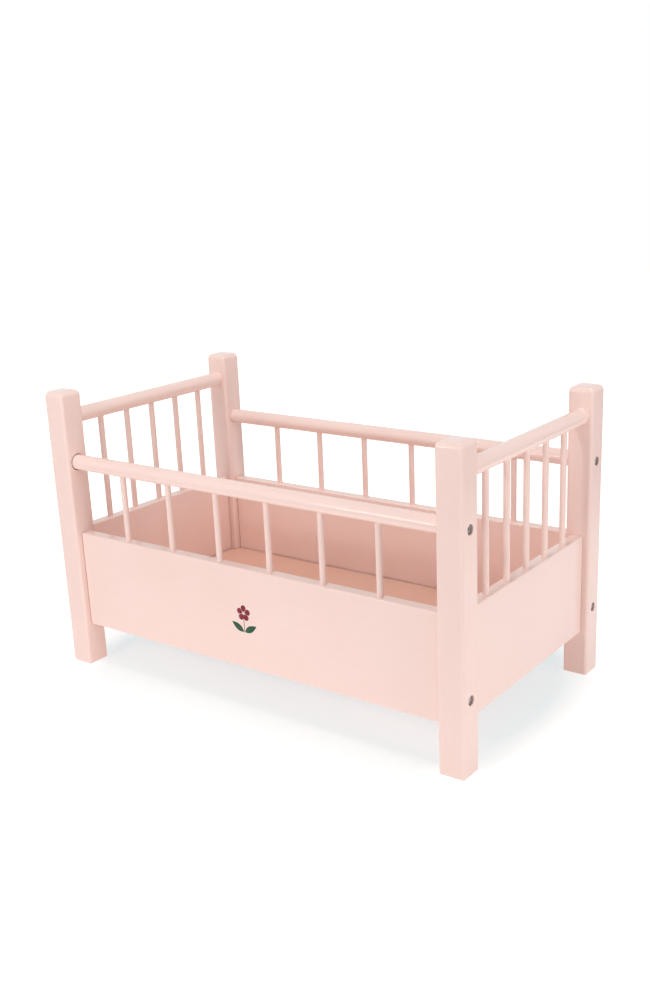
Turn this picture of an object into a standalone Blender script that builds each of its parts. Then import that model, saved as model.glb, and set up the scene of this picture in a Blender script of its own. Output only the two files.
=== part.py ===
"""Doll bed of painted wood, as separate pieces.

The origin is on the ground under the middle of the bed. X runs along its length, Y from front to back
and Z up. The two end frames are glued. The side rails and side panels are bolted between them.
"""
import math

import bmesh
import bpy
from mathutils import Matrix

MM = 0.001

# Overall size, over the posts
bed_length = 510 * MM
bed_width = 283 * MM
bed_height = 309 * MM

# Corner posts
post_side = 27 * MM
post_top_radius = 5.5 * MM
post_edge_radius = 3.2 * MM
post_foot_radius = 1.6 * MM

# Rails, round, on the centre lines of the posts; each drop is from the posts' tops to the rail's middle
rail_diameter = 16.4 * MM
side_rail_drop = 77 * MM
end_rail_drop = 30 * MM
side_rail_seat = 4 * MM
side_rail_play = 0.5 * MM
end_rail_seat = 9 * MM

# Panels
panel_thickness = 12.5 * MM
panel_height = 106.5 * MM
panel_edge_radius = 1.3 * MM
side_panel_base = 47 * MM
end_panel_lift = 1.8 * MM

# Stub tenons of the end panels
tenon_thickness = 7 * MM
tenon_length = 8 * MM
tenon_shoulder = 12 * MM

# Spindles
spindle_diameter = 6.3 * MM
side_spindle_count = 6
end_spindle_count = 5
side_spindle_margin = 67 * MM
end_spindle_margin = 36.3 * MM
spindle_rail_seat = 6 * MM
spindle_panel_seat = 10 * MM

# Floor board and the cleats that carry it
floor_thickness = 5 * MM
floor_height = 60.6 * MM
floor_play = 0.6 * MM
cleat_side = 8 * MM
cleat_end_gap = 1 * MM

# Connector bolts
bolt_diameter = 5 * MM
bolt_length = 35 * MM
bolt_head_diameter = 8.5 * MM
bolt_head_height = 5 * MM
bolt_head_chamfer = 0.5 * MM
bolt_socket_width = 4 * MM
bolt_socket_depth = 2.6 * MM
bolt_head_sunk = 2.2 * MM
bolt_head_play = 0.5 * MM
panel_bolt_height = 74 * MM

# Threaded inserts
insert_diameter = 7.5 * MM
insert_length = 12 * MM
insert_groove_depth = 0.4 * MM
insert_groove_count = 2

# Locating dowels between side panels and posts
dowel_diameter = 6 * MM
dowel_length = 30 * MM
dowel_post_share = 0.4
dowel_height = 126 * MM

# Fits
seat_gap = 0.3 * MM
glue_gap = 0.15 * MM
bolt_play = 0.25 * MM
thread_play = 0.15 * MM
cut_overrun = 2 * MM

# Flats round each kind of turned surface and across a rounded edge
rail_flat_count = 40
spindle_flat_count = 20
bore_flat_count = 12
head_flat_count = 16
socket_flat_count = 6
edge_flat_count = 4

# Corners sharper than this stay crisp, and points closer than this are one point
crisp_corner_angle = math.radians(35)
same_point = 0.01 * MM

# Places worked out from the sizes above
post_x = (bed_length - post_side) / 2
post_y = (bed_width - post_side) / 2
inner_x = bed_length / 2 - post_side
inner_y = bed_width / 2 - post_side
panel_inner_x = post_x - panel_thickness / 2
panel_inner_y = post_y - panel_thickness / 2
side_rail_height = bed_height - side_rail_drop
end_rail_height = bed_height - end_rail_drop
end_panel_base = side_panel_base + end_panel_lift
side_panel_top = side_panel_base + panel_height
end_panel_top = end_panel_base + panel_height
head_seat_x = bed_length / 2 - bolt_head_sunk - bolt_head_height
rail_end_x = inner_x + side_rail_seat - seat_gap
panel_end_x = inner_x - seat_gap


# Scene set-up
for old in list(bpy.data.objects):
    bpy.data.objects.remove(old, do_unlink=True)

bed = bpy.data.collections.new("doll_bed")
bpy.context.scene.collection.children.link(bed)
cutters = bpy.data.collections.new("doll_bed_cutters")
bpy.context.scene.collection.children.link(cutters)

root = bpy.data.objects.new("doll_bed_frame", None)
bed.objects.link(root)


def finish(name, colour, roughness, metallic):
    """Plain surface finish with a base colour."""
    material = bpy.data.materials.new(name)
    material.use_nodes = True
    shader = material.node_tree.nodes["Principled BSDF"]
    shader.inputs["Base Color"].default_value = (*colour, 1.0)
    shader.inputs["Roughness"].default_value = roughness
    shader.inputs["Metallic"].default_value = metallic
    return material


rose_pink = (0.86, 0.62, 0.56)
steel_grey = (0.55, 0.56, 0.58)
brass_yellow = (0.75, 0.58, 0.28)
bare_beech = (0.74, 0.55, 0.36)
post_paint = finish("painted_post", rose_pink, roughness=0.3, metallic=0.0)
rail_paint = finish("painted_rail", rose_pink, roughness=0.3, metallic=0.0)
spindle_paint = finish("painted_spindle", rose_pink, roughness=0.3, metallic=0.0)
panel_paint = finish("painted_panel", rose_pink, roughness=0.3, metallic=0.0)
floor_paint = finish("painted_floor", rose_pink, roughness=0.25, metallic=0.0)
cleat_paint = finish("painted_cleat", rose_pink, roughness=0.4, metallic=0.0)
bolt_steel = finish("bolt_steel", steel_grey, roughness=0.35, metallic=1.0)
insert_brass = finish("insert_brass", brass_yellow, roughness=0.4, metallic=1.0)
dowel_beech = finish("dowel_beech", bare_beech, roughness=0.7, metallic=0.0)


def add_piece(name, mesh, material, place, turn_z=0.0):
    """One named piece of the bed at its place."""
    piece = bpy.data.objects.new(name, mesh)
    piece.location = place
    piece.rotation_euler = (0.0, 0.0, turn_z)
    piece.parent = root
    bed.objects.link(piece)
    mesh.materials.clear()
    mesh.materials.append(material)
    return piece


def shade_round(mesh):
    """Smooth shading over round surfaces, with sharp rims."""
    mesh.shade_smooth()
    mesh.set_sharp_from_angle(angle=crisp_corner_angle)


def block_mesh(name, size, upright_share=1.0, low_share=1.0):
    """Block centred on the origin; its upright and lower edges may get only a share of the rounding."""
    mesh = bpy.data.meshes.new(name)
    shape = bmesh.new()
    bmesh.ops.create_cube(shape, size=1.0, matrix=Matrix.Diagonal((*size, 1.0)))
    weights = shape.edges.layers.float.new("bevel_weight_edge")
    for edge in shape.edges:
        heights = [corner.co.z for corner in edge.verts]
        edge[weights] = 1.0
        if max(heights) < 0:
            edge[weights] = low_share
        elif min(heights) < 0:
            edge[weights] = upright_share
    shape.to_mesh(mesh)
    shape.free()
    return mesh


def round_edges(piece, radius):
    """Rounding of a block's marked edges."""
    bevel = piece.modifiers.new("rounded_edges", "BEVEL")
    bevel.limit_method = "WEIGHT"
    bevel.width = radius
    bevel.segments = edge_flat_count
    shade_round(piece.data)


def rod_mesh(name, radius, length, axis, flats):
    """Plain rod centred on the origin along X, Y or Z."""
    turns = {
        "X": Matrix.Rotation(math.pi / 2, 4, "Y"),
        "Y": Matrix.Rotation(math.pi / 2, 4, "X"),
        "Z": Matrix.Identity(4),
    }
    mesh = bpy.data.meshes.new(name)
    shape = bmesh.new()
    bmesh.ops.create_cone(
        shape,
        cap_ends=True,
        segments=flats,
        radius1=radius,
        radius2=radius,
        depth=length,
        matrix=turns[axis],
    )
    shape.to_mesh(mesh)
    shape.free()
    return mesh


def cut_with(piece, mesh, place):
    """Takes a cutter's shape out of a piece. The place is in the frame of the whole bed."""
    cutter = bpy.data.objects.new("cut_" + mesh.name, mesh)
    cutter.location = place
    cutter.hide_render = True
    cutter.display_type = "WIRE"
    cutters.objects.link(cutter)
    cut = piece.modifiers.new("cut_" + mesh.name, "BOOLEAN")
    cut.operation = "DIFFERENCE"
    cut.solver = "EXACT"
    cut.object = cutter


def cut_rod(piece, name, radius, axis, start, end, flats=bore_flat_count):
    """Round hole from one point to another, both on one line along the named axis."""
    length = sum(abs(a - b) for a, b in zip(start, end))
    middle = [(a + b) / 2 for a, b in zip(start, end)]
    cut_with(piece, rod_mesh(name, radius, length, axis, flats), middle)


def settle(piece):
    """Mesh of a piece with its modifiers worked in and its faces outward, for copies that share it."""
    bpy.context.view_layer.update()
    graph = bpy.context.evaluated_depsgraph_get()
    mesh = bpy.data.meshes.new_from_object(piece.evaluated_get(graph))
    shape = bmesh.new()
    shape.from_mesh(mesh)
    bmesh.ops.recalc_face_normals(shape, faces=shape.faces)
    shape.to_mesh(mesh)
    shape.free()
    return mesh


def row_places(count, half_length, margin):
    """Evenly spaced places about zero, with a margin at both ends of the row."""
    pitch = 2 * (half_length - margin) / (count - 1)
    return [(index - (count - 1) / 2) * pitch for index in range(count)]


sides = {"front": -1, "back": 1}
ends = {"left": -1, "right": 1}
side_spindle_places = row_places(side_spindle_count, inner_x, side_spindle_margin)
end_spindle_places = row_places(end_spindle_count, inner_y, end_spindle_margin)


# Corner posts, with sockets for the rails, a mortise for the end panel, a dowel hole and two bolt holes
def add_post(end_name, side_name):
    sx = ends[end_name]
    sy = sides[side_name]
    x = sx * post_x
    y = sy * post_y
    mesh = block_mesh(
        "post", (post_side, post_side, bed_height),
        post_edge_radius / post_top_radius, post_foot_radius / post_top_radius,
    )
    post = add_piece(f"post_{side_name}_{end_name}", mesh, post_paint, (x, y, bed_height / 2))
    round_edges(post, post_top_radius)

    cut_rod(
        post, "side_rail_socket", rail_diameter / 2 + side_rail_play, "X",
        (sx * (inner_x - cut_overrun), y, side_rail_height),
        (sx * (inner_x + side_rail_seat), y, side_rail_height),
        rail_flat_count,
    )
    cut_rod(
        post, "end_rail_socket", rail_diameter / 2 + seat_gap, "Y",
        (x, sy * (inner_y - cut_overrun), end_rail_height),
        (x, sy * (inner_y + end_rail_seat), end_rail_height),
        rail_flat_count,
    )
    for height in (side_rail_height, panel_bolt_height):
        cut_rod(
            post, "bolt_head_bore", bolt_head_diameter / 2 + bolt_head_play, "X",
            (sx * (bed_length / 2 + cut_overrun), y, height),
            (sx * (head_seat_x - seat_gap), y, height),
            head_flat_count,
        )
        cut_rod(
            post, "bolt_bore", bolt_diameter / 2 + bolt_play, "X",
            (sx * bed_length / 2, y, height),
            (sx * (inner_x - cut_overrun), y, height),
        )
    mortise_height = panel_height - 2 * tenon_shoulder + 2 * glue_gap
    mortise_depth = tenon_length + seat_gap
    mortise_size = (tenon_thickness + 2 * glue_gap, mortise_depth + cut_overrun, mortise_height)
    mortise_middle = sy * (inner_y + (mortise_depth - cut_overrun) / 2)
    cut_with(
        post,
        block_mesh("mortise", mortise_size),
        (x, mortise_middle, end_panel_base + panel_height / 2),
    )
    cut_rod(
        post, "dowel_bore", dowel_diameter / 2 + glue_gap, "X",
        (sx * (inner_x - cut_overrun), y, dowel_height),
        (sx * (inner_x + dowel_length * dowel_post_share + seat_gap), y, dowel_height),
    )


for end_name in ends:
    for side_name in sides:
        add_post(end_name, side_name)


# Bores at the two ends of a side rail or side panel: one for the insert and a deeper one for the bolt
def cut_insert_bores(piece, y, height, end_x):
    for sx in ends.values():
        cut_rod(
            piece, "insert_bore", insert_diameter / 2 + glue_gap, "X",
            (sx * (end_x + cut_overrun), y, height),
            (sx * (end_x - insert_length - 2 * seat_gap), y, height),
        )
        cut_rod(
            piece, "bolt_tip_bore", bolt_diameter / 2 + bolt_play, "X",
            (sx * end_x, y, height),
            (sx * (head_seat_x - bolt_length - cut_overrun), y, height),
        )


# Blind holes for a row of spindles
def cut_spindle_bores(piece, places, line, along, low, high):
    bore_radius = spindle_diameter / 2 + glue_gap
    for place in places:
        x, y = (place, line) if along == "X" else (line, place)
        cut_rod(piece, "spindle_bore", bore_radius, "Z", (x, y, low), (x, y, high))


# Side rails
for side_name, sy in sides.items():
    y = sy * post_y
    mesh = rod_mesh("side_rail", rail_diameter / 2, 2 * rail_end_x, "X", rail_flat_count)
    shade_round(mesh)
    rail = add_piece(f"side_rail_{side_name}", mesh, rail_paint, (0.0, y, side_rail_height))
    underside = side_rail_height - rail_diameter / 2
    bore_low = underside - cut_overrun
    bore_high = underside + spindle_rail_seat
    cut_spindle_bores(rail, side_spindle_places, y, "X", bore_low, bore_high)
    cut_insert_bores(rail, y, side_rail_height, rail_end_x)

# End rails
for end_name, sx in ends.items():
    x = sx * post_x
    end_rail_length = 2 * (inner_y + end_rail_seat - seat_gap)
    mesh = rod_mesh("end_rail", rail_diameter / 2, end_rail_length, "Y", rail_flat_count)
    shade_round(mesh)
    rail = add_piece(f"end_rail_{end_name}", mesh, rail_paint, (x, 0.0, end_rail_height))
    underside = end_rail_height - rail_diameter / 2
    bore_low = underside - cut_overrun
    bore_high = underside + spindle_rail_seat
    cut_spindle_bores(rail, end_spindle_places, x, "Y", bore_low, bore_high)


# Side panels, each with a dowel hole beside the bolt in both ends
for side_name, sy in sides.items():
    y = sy * post_y
    size = (2 * panel_end_x, panel_thickness, panel_height)
    middle = side_panel_base + panel_height / 2
    mesh = block_mesh("side_panel", size)
    panel = add_piece(f"side_panel_{side_name}", mesh, panel_paint, (0.0, y, middle))
    round_edges(panel, panel_edge_radius)
    bore_low = side_panel_top - spindle_panel_seat
    cut_spindle_bores(panel, side_spindle_places, y, "X", bore_low, side_panel_top + cut_overrun)
    cut_insert_bores(panel, y, panel_bolt_height, panel_end_x)
    for sx in ends.values():
        cut_rod(
            panel, "dowel_bore", dowel_diameter / 2 + glue_gap, "X",
            (sx * (panel_end_x + cut_overrun), y, dowel_height),
            (sx * (inner_x - dowel_length * (1 - dowel_post_share) - seat_gap), y, dowel_height),
        )


# End panels, each with a stub tenon at both ends that goes into the posts
for end_name, sx in ends.items():
    x = sx * post_x
    size = (panel_thickness, 2 * (inner_y - seat_gap), panel_height)
    middle = end_panel_base + panel_height / 2
    mesh = block_mesh("end_panel", size)
    panel = add_piece(f"end_panel_{end_name}", mesh, panel_paint, (x, 0.0, middle))
    round_edges(panel, panel_edge_radius)
    tenon_size = (tenon_thickness, 2 * (inner_y + tenon_length), panel_height - 2 * tenon_shoulder)
    tenon_mesh = block_mesh("tenon", tenon_size)
    tenon = bpy.data.objects.new("join_tenon", tenon_mesh)
    tenon.location = (x, 0.0, middle)
    tenon.hide_render = True
    tenon.display_type = "WIRE"
    cutters.objects.link(tenon)
    join = panel.modifiers.new("tenon", "BOOLEAN")
    join.operation = "UNION"
    join.solver = "EXACT"
    join.object = tenon
    bore_low = end_panel_top - spindle_panel_seat
    cut_spindle_bores(panel, end_spindle_places, x, "Y", bore_low, end_panel_top + cut_overrun)


# Spindles, from a hole in the panel's top to a hole under the rail
def add_spindles(stem, places, line, along, panel_top, rail_height):
    low = panel_top - spindle_panel_seat + seat_gap
    high = rail_height - rail_diameter / 2 + spindle_rail_seat - seat_gap
    mesh = rod_mesh("spindle_" + stem, spindle_diameter / 2, high - low, "Z", spindle_flat_count)
    shade_round(mesh)
    for number, place in enumerate(places, start=1):
        x, y = (place, line) if along == "X" else (line, place)
        add_piece(f"spindle_{stem}_{number}", mesh, spindle_paint, (x, y, (low + high) / 2))


for side_name, sy in sides.items():
    add_spindles(side_name, side_spindle_places, sy * post_y, "X", side_panel_top, side_rail_height)
for end_name, sx in ends.items():
    add_spindles(end_name, end_spindle_places, sx * post_x, "Y", end_panel_top, end_rail_height)


# Floor board, notched round the four posts
floor_half_x = panel_inner_x - floor_play
floor_half_y = panel_inner_y - floor_play
floor_size = (2 * floor_half_x, 2 * floor_half_y, floor_thickness)
floor_board = add_piece(
    "floor_board", block_mesh("floor_board", floor_size), floor_paint,
    (0.0, 0.0, floor_height - floor_thickness / 2),
)
notch_x = inner_x - floor_play
notch_y = inner_y - floor_play
notch_size = (
    floor_half_x - notch_x + cut_overrun,
    floor_half_y - notch_y + cut_overrun,
    floor_thickness + 2 * cut_overrun,
)
for sx in ends.values():
    for sy in sides.values():
        notch_place = (
            sx * (notch_x + notch_size[0] / 2),
            sy * (notch_y + notch_size[1] / 2),
            floor_height - floor_thickness / 2,
        )
        cut_with(floor_board, block_mesh("notch", notch_size), notch_place)


# Cleats along the inside of the panels, just under the floor board
cleat_top = floor_height - floor_thickness - seat_gap
for side_name, sy in sides.items():
    size = (2 * (inner_x - cleat_end_gap), cleat_side, cleat_side)
    place = (0.0, sy * (panel_inner_y - seat_gap - cleat_side / 2), cleat_top - cleat_side / 2)
    add_piece(f"floor_cleat_{side_name}", block_mesh("side_cleat", size), cleat_paint, place)
for end_name, sx in ends.items():
    size = (cleat_side, 2 * (panel_inner_y - cleat_side - 2 * seat_gap), cleat_side)
    place = (sx * (panel_inner_x - seat_gap - cleat_side / 2), 0.0, cleat_top - cleat_side / 2)
    add_piece(f"floor_cleat_{end_name}", block_mesh("end_cleat", size), cleat_paint, place)


def turned_mesh(name, profile, flats, hollow=False):
    """Solid turned about Z from a profile of radius and height, top to bottom down its outer side."""
    mesh = bpy.data.meshes.new(name)
    corners = [(radius, 0.0, height) for radius, height in profile]
    lines = [(index, index + 1) for index in range(len(corners) - 1)]
    if hollow:
        lines.append((len(corners) - 1, 0))
    mesh.from_pydata(corners, lines, [])
    blank = bpy.data.objects.new("turned_" + name, mesh)
    cutters.objects.link(blank)
    screw = blank.modifiers.new("turn", "SCREW")
    screw.axis = "Z"
    screw.steps = flats
    screw.render_steps = flats
    screw.use_merge_vertices = True
    screw.merge_threshold = same_point
    screw.use_normal_calculate = True
    return blank


# Connector bolts: a round head with a hex socket, and a plain shank for the thread
head_radius = bolt_head_diameter / 2
shank_radius = bolt_diameter / 2
bolt_profile = [
    (0.0, bolt_head_height),
    (head_radius - bolt_head_chamfer, bolt_head_height),
    (head_radius, bolt_head_height - bolt_head_chamfer),
    (head_radius, 0.0),
    (shank_radius, 0.0),
    (shank_radius, bolt_head_chamfer - bolt_length),
    (shank_radius - bolt_head_chamfer, -bolt_length),
    (0.0, -bolt_length),
]
bolt_blank = turned_mesh("bolt", bolt_profile, head_flat_count)
hex_radius = bolt_socket_width / 2 / math.cos(math.pi / socket_flat_count)
hex_length = bolt_socket_depth + cut_overrun
hex_middle = bolt_head_height - bolt_socket_depth + hex_length / 2
hex_mesh = rod_mesh("hex_socket", hex_radius, hex_length, "Z", socket_flat_count)
cut_with(bolt_blank, hex_mesh, (0.0, 0.0, hex_middle))
bolt_mesh = settle(bolt_blank)
bolt_mesh.transform(Matrix.Rotation(math.pi / 2, 4, "Y"))
shade_round(bolt_mesh)
bolt_mesh.name = "bolt"
bpy.data.objects.remove(bolt_blank, do_unlink=True)

# Threaded inserts: a tube with grooves round it that grip the wood
outer = insert_diameter / 2
groove = outer - insert_groove_depth
bore = bolt_diameter / 2 + thread_play
land = insert_length / (2 * insert_groove_count + 1)
insert_profile = [(bore, insert_length), (outer, insert_length)]
for number in range(insert_groove_count):
    top = insert_length - (2 * number + 1) * land
    insert_profile += [(outer, top), (groove, top), (groove, top - land), (outer, top - land)]
insert_profile += [(outer, 0.0), (bore, 0.0)]
insert_blank = turned_mesh("insert", insert_profile, bore_flat_count, hollow=True)
insert_mesh = settle(insert_blank)
insert_mesh.transform(Matrix.Rotation(math.pi / 2, 4, "Y"))
shade_round(insert_mesh)
insert_mesh.name = "insert"
bpy.data.objects.remove(insert_blank, do_unlink=True)

# Locating dowels, shared by the four ends of the side panels
dowel_mesh = rod_mesh("dowel", dowel_diameter / 2, dowel_length, "X", bore_flat_count)
shade_round(dowel_mesh)

fastenings = {
    "rail": (side_rail_height, rail_end_x),
    "panel": (panel_bolt_height, panel_end_x),
}
for end_name, sx in ends.items():
    turn = 0.0 if sx > 0 else math.pi
    for side_name, sy in sides.items():
        y = sy * post_y
        for joint_name, (height, end_x) in fastenings.items():
            where = f"{joint_name}_{side_name}_{end_name}"
            add_piece(f"bolt_{where}", bolt_mesh, bolt_steel, (sx * head_seat_x, y, height), turn)
            insert_x = sx * (end_x - seat_gap - insert_length)
            add_piece(f"insert_{where}", insert_mesh, insert_brass, (insert_x, y, height), turn)
        dowel_x = sx * (inner_x + dowel_length * (dowel_post_share - 0.5))
        add_piece(f"dowel_{side_name}_{end_name}", dowel_mesh, dowel_beech, (dowel_x, y, dowel_height))
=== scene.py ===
import math

import bmesh
import bpy
from mathutils import Matrix, Vector


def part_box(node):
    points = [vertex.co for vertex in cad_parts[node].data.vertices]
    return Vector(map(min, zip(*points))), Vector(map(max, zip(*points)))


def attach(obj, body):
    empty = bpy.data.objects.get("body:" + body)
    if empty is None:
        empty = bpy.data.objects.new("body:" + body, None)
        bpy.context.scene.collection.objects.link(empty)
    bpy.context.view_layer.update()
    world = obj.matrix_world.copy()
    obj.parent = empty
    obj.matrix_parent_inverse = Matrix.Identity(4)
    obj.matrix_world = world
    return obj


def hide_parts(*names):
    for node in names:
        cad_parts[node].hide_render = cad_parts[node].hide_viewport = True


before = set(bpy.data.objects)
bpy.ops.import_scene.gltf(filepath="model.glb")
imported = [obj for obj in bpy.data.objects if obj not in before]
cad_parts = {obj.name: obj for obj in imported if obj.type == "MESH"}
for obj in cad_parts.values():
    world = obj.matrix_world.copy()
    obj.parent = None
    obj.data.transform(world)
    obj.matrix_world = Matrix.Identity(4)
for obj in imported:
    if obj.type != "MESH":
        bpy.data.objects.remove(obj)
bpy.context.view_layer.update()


# The camera
# It stands in front of the bed's right end and looks down on it, at the angle of the photograph.
camera_place = (0.715865, -0.930470, 0.534319)
camera_yaw = math.radians(36.062)
camera_pitch = math.radians(-17.213)
camera_roll = math.radians(-2.135)
picture_width = 650
picture_height = 1000
focal_pixels = 1154.5
centre_pixel_x = 350.9
centre_pixel_y = 514.6
sensor_size = 36.0

camera_data = bpy.data.cameras.new("camera")
camera_data.sensor_fit = "AUTO"
camera_data.sensor_width = sensor_size
camera_data.lens = focal_pixels / picture_height * sensor_size
camera_data.shift_x = (picture_width / 2 - centre_pixel_x) / picture_height
camera_data.shift_y = (centre_pixel_y - picture_height / 2) / picture_height
camera = bpy.data.objects.new("camera", camera_data)
upright = Matrix.Rotation(math.pi / 2, 4, "X")
tilt = Matrix.Rotation(camera_pitch, 4, "X")
heading = Matrix.Rotation(camera_yaw, 4, "Z")
roll = Matrix.Rotation(camera_roll, 4, "Z")
camera.matrix_world = Matrix.Translation(camera_place) @ heading @ tilt @ upright @ roll
bpy.context.scene.collection.objects.link(camera)
bpy.context.scene.camera = camera


# Floor and light
# A white studio floor that glows a little and fades into a white backdrop. The paint mirrors it as a painted
# reflection, brighter near the bed and darker away from it, as a room is darker round a lit table. A compact
# lamp and a low one stand in front, one stands low at the right end, and a weak one hangs over the bed.
floor_span = 8.0
floor_white = (0.86, 0.86, 0.86, 1.0)
floor_lift = (0.445, 0.62, 0.66, 1.0)
shadow_shares = (0.73, 0.53, 0.47)
shadow_reach = 0.25
white_reach = 0.35
floor_glow = 0.27
# Painted reflection: what the paint mirrors of the floor glows brighter near the bed and turns dim and grey
# away from it.
mirror_centre = (0.10, 0.25, 0.0)
mirror_near_reach = 0.42
mirror_far_reach = 0.80
mirror_near_glow = 0.42
mirror_far_glow = 0.05
mirror_far_white = (0.40, 0.40, 0.40, 1.0)
pure_white = (1.0, 1.0, 1.0, 1.0)
lamp_aim = Vector((0.0, 0.0, 0.14))
lamps = {
    "key_lamp": ((-0.23, -2.19, 1.52), 0.28, 9.0),
    "low_lamp": ((-0.50, -1.20, 0.36), 0.3, 1.98),
    "right_lamp": ((2.52, -0.25, 0.50), 0.6, 14.3),
    "top_lamp": ((0.0, -0.19, 1.48), 0.5, 5.5),
}
world_level = 0.43
front_gloss = 0.6
gloss_front_y = -0.2
gloss_back_y = 0.5


def eased(tree, value, low, high, start=0.0, end=1.0):
    """Socket that goes from a low level to a high one while a value goes from start to end."""
    level = tree.nodes.new("ShaderNodeMapRange")
    level.inputs["From Min"].default_value = start
    level.inputs["From Max"].default_value = end
    level.inputs["To Min"].default_value = low
    level.inputs["To Max"].default_value = high
    tree.links.new(value, level.inputs["Value"])
    return level.outputs["Result"]


def object_place(tree):
    """Socket of the coordinates that patterns are laid out in."""
    return tree.nodes.new("ShaderNodeTexCoord").outputs["Object"]


def away_from(tree, place, centre):
    """Socket of the distance from a centre."""
    distance = tree.nodes.new("ShaderNodeVectorMath")
    distance.operation = "DISTANCE"
    distance.inputs[1].default_value = centre
    tree.links.new(place, distance.inputs[0])
    return distance.outputs["Value"]


def glowing_matte(tree, colour, glow, glow_colour=None):
    """Matte surface that also glows, white or in the colour of a socket."""
    matte = tree.nodes.new("ShaderNodeBsdfDiffuse")
    matte.inputs["Color"].default_value = colour
    light = tree.nodes.new("ShaderNodeEmission")
    light.inputs["Strength"].default_value = glow
    if glow_colour is not None:
        tree.links.new(glow_colour, light.inputs["Color"])
    both = tree.nodes.new("ShaderNodeAddShader")
    tree.links.new(matte.outputs["BSDF"], both.inputs[0])
    tree.links.new(light.outputs["Emission"], both.inputs[1])
    return both.outputs["Shader"]


def either(tree, share, first, second):
    """Surface that goes over from a first one to a second one with a share."""
    mix = tree.nodes.new("ShaderNodeMixShader")
    tree.links.new(share, mix.inputs["Fac"])
    tree.links.new(first, mix.inputs[1])
    tree.links.new(second, mix.inputs[2])
    return mix.outputs["Shader"]


def studio_floor_finish():
    """White floor that keeps a soft shadow and meets the white backdrop without an edge."""
    material = bpy.data.materials.new("studio_floor")
    material.use_nodes = True
    tree = material.node_tree
    tree.nodes.clear()
    output = tree.nodes.new("ShaderNodeOutputMaterial")
    path = tree.nodes.new("ShaderNodeLightPath")
    place = object_place(tree)

    whiten = tree.nodes.new("ShaderNodeMix")
    whiten.data_type = "RGBA"
    whiten.inputs["A"].default_value = floor_lift
    whiten.inputs["B"].default_value = pure_white
    from_bed = away_from(tree, place, (0.0, 0.0, 0.0))
    faded = eased(tree, from_bed, 0.0, 1.0, shadow_reach, white_reach)
    tree.links.new(faded, whiten.inputs["Factor"])
    shadow_white = [channel * share for channel, share in zip(floor_white, shadow_shares)] + [1.0]
    seen_floor = glowing_matte(tree, shadow_white, 1.0, whiten.outputs["Result"])

    # Painted reflection: glossy rays see a floor that glows brighter near the bed and is dim and grey
    # further away.
    painted_reflection_near = glowing_matte(tree, floor_white, mirror_near_glow)
    painted_reflection_far = glowing_matte(tree, mirror_far_white, mirror_far_glow)
    from_mirror = away_from(tree, place, mirror_centre)
    away = eased(tree, from_mirror, 0.0, 1.0, mirror_near_reach, mirror_far_reach)
    painted_reflection_floor = either(tree, away, painted_reflection_near, painted_reflection_far)

    lit_floor = glowing_matte(tree, floor_white, floor_glow)
    felt_floor = either(tree, path.outputs["Is Glossy Ray"], lit_floor, painted_reflection_floor)
    surface = either(tree, path.outputs["Is Camera Ray"], felt_floor, seen_floor)
    tree.links.new(surface, output.inputs["Surface"])
    return material


floor_shape = bmesh.new()
bmesh.ops.create_grid(floor_shape, x_segments=1, y_segments=1, size=floor_span / 2)
floor_mesh = bpy.data.meshes.new("studio_floor")
floor_shape.to_mesh(floor_mesh)
floor_shape.free()
studio_floor = bpy.data.objects.new("studio_floor", floor_mesh)
studio_floor.data.materials.append(studio_floor_finish())
bpy.context.scene.collection.objects.link(studio_floor)

for lamp_name, (place, size, power) in lamps.items():
    lamp_data = bpy.data.lights.new(lamp_name, "AREA")
    lamp_data.shape = "SQUARE"
    lamp_data.size = size
    lamp_data.energy = power
    lamp = bpy.data.objects.new(lamp_name, lamp_data)
    beam = lamp_aim - Vector(place)
    turn = beam.to_track_quat("-Z", "Y").to_matrix().to_4x4()
    lamp.matrix_world = Matrix.Translation(place) @ turn
    bpy.context.scene.collection.objects.link(lamp)

# The camera sees the backdrop pure white, paint mirrors it a little duller in front, and it lights the bed
# at a lower level.
world = bpy.data.worlds.new("backdrop")
world.use_nodes = True
bpy.context.scene.world = world
world_tree = world.node_tree
backdrop = world_tree.nodes["Background"]
backdrop.inputs["Color"].default_value = pure_white
ray = world_tree.nodes.new("ShaderNodeLightPath")
bearing = world_tree.nodes.new("ShaderNodeTexCoord")
split = world_tree.nodes.new("ShaderNodeSeparateXYZ")
world_tree.links.new(bearing.outputs["Generated"], split.inputs["Vector"])
gloss_level = eased(world_tree, split.outputs["Y"], front_gloss, 1.0, gloss_front_y, gloss_back_y)
gloss_share = world_tree.nodes.new("ShaderNodeMath")
gloss_share.operation = "MULTIPLY"
world_tree.links.new(gloss_level, gloss_share.inputs[0])
world_tree.links.new(ray.outputs["Is Glossy Ray"], gloss_share.inputs[1])
seen_share = world_tree.nodes.new("ShaderNodeMath")
seen_share.operation = "MAXIMUM"
world_tree.links.new(ray.outputs["Is Camera Ray"], seen_share.inputs[0])
world_tree.links.new(gloss_share.outputs["Value"], seen_share.inputs[1])
backdrop_level = eased(world_tree, seen_share.outputs["Value"], world_level, 1.0)
world_tree.links.new(backdrop_level, backdrop.inputs["Strength"])

bpy.context.scene.view_settings.view_transform = "Standard"


# Paint
# Each wooden piece is sprayed with a pale rose satin lacquer, which lets a little of the grain show as
# relief. The grain runs along the piece.
paint_colour = (0.965, 0.730, 0.665)
# The floor board's tone is darker and warmer than the paint: painted shade for the bottom of the bed.
shaded_floor_colour = (0.79, 0.485, 0.375)
pale_share = 1.015
deep_shares = (0.99, 0.975, 0.97)
tint_start = 0.35
tint_end = 0.65
grain_stretch = 0.06
grain_share = 0.35
cloud_share = 0.65
paint_roughness = 0.1
gloss_below = 0.04
gloss_above = 0.05
grain_depth = 0.00002
peel_depth = 0.00001
lacquer_ior = 1.5


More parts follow.
